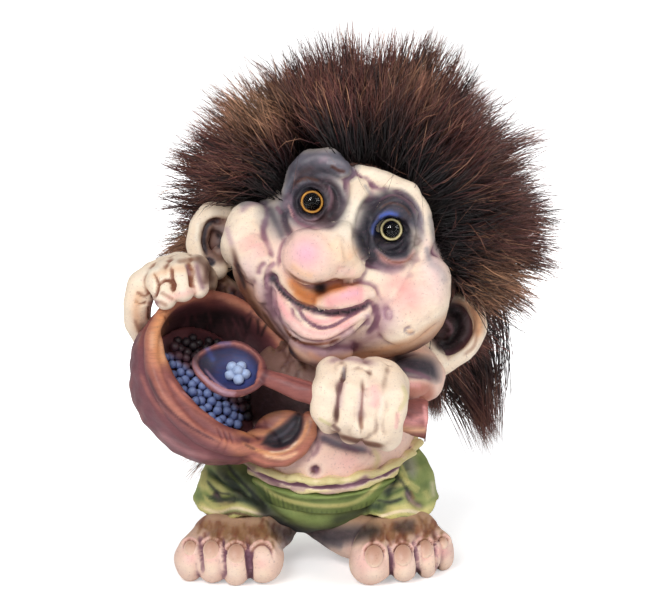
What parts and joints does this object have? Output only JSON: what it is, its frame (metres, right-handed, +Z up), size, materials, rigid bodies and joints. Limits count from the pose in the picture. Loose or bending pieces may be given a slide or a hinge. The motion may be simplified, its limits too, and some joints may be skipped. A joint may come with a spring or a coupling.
{
  "type": "norwegian troll figure",
  "caption": "Cast and painted folk troll with a fur wig and glass eyes, holding a bowl of blue berries and a long spoon.",
  "frame": {"origin": "middle of the bounding box's base, on the surface that the figure stands on", "axes": "+Z up, -Y the way the figure faces, +X towards the figure's own left hand"},
  "size_m": [0.1205, 0.0989, 0.1478],
  "materials": {
    "painted_skin": "satin hand paint in cream and pink with a purple-brown wash in the creases",
    "painted_nail": "satin hand paint",
    "painted_tongue": "satin hand paint",
    "eye_glass": "clear and glossy",
    "pale_iris": "painted yellow-green ring round a black pupil",
    "amber_iris": "painted amber ring round a black pupil",
    "steel_wire": "plain drawn wire",
    "bowl_paint": "painted like reddish brown wood",
    "spoon_paint": "painted like reddish brown wood",
    "bowl_berries": "painted blue",
    "spoon_berries": "painted light blue",
    "frill_paint": "painted cream with a purple wash",
    "green_cloth_paint": "painted olive green with a dark wash",
    "hide": "dark hide that carries the fur",
    "dark_fur": "long dark brown fur with near-black roots and tan tips",
    "mane_fur": "long dark brown fur",
    "foam": "soft open foam, hidden inside",
    "plug": "matt"
  },
  "bodies": {
    "root": {"head": "painted_skin", "left_ear": "painted_skin", "right_ear": "painted_skin", "tongue": "painted_tongue", "left_eye_glass": "eye_glass", "right_eye_glass": "eye_glass", "left_eye_iris": "pale_iris", "right_eye_iris": "amber_iris", "left_eye_wire": "steel_wire", "right_eye_wire": "steel_wire", "torso": "painted_skin", "left_arm": "painted_skin", "right_arm": "painted_skin", "left_hand": "painted_skin", "right_hand": "painted_skin", "bowl": "bowl_paint", "bowl_berries": "bowl_berries", "spoon": "spoon_paint", "spoon_berries": "spoon_berries", "shirt_frill": "frill_paint", "waistband": "green_cloth_paint", "trousers": "green_cloth_paint", "left_foot": "painted_skin", "right_foot": "painted_skin", "left_toenails": "painted_nail", "right_toenails": "painted_nail", "wig_backing": "hide", "wig_fur": "dark_fur", "back_mane": "mane_fur", "foam_core": "foam", "base_plug": "plug"}
  },
  "joints": []
}
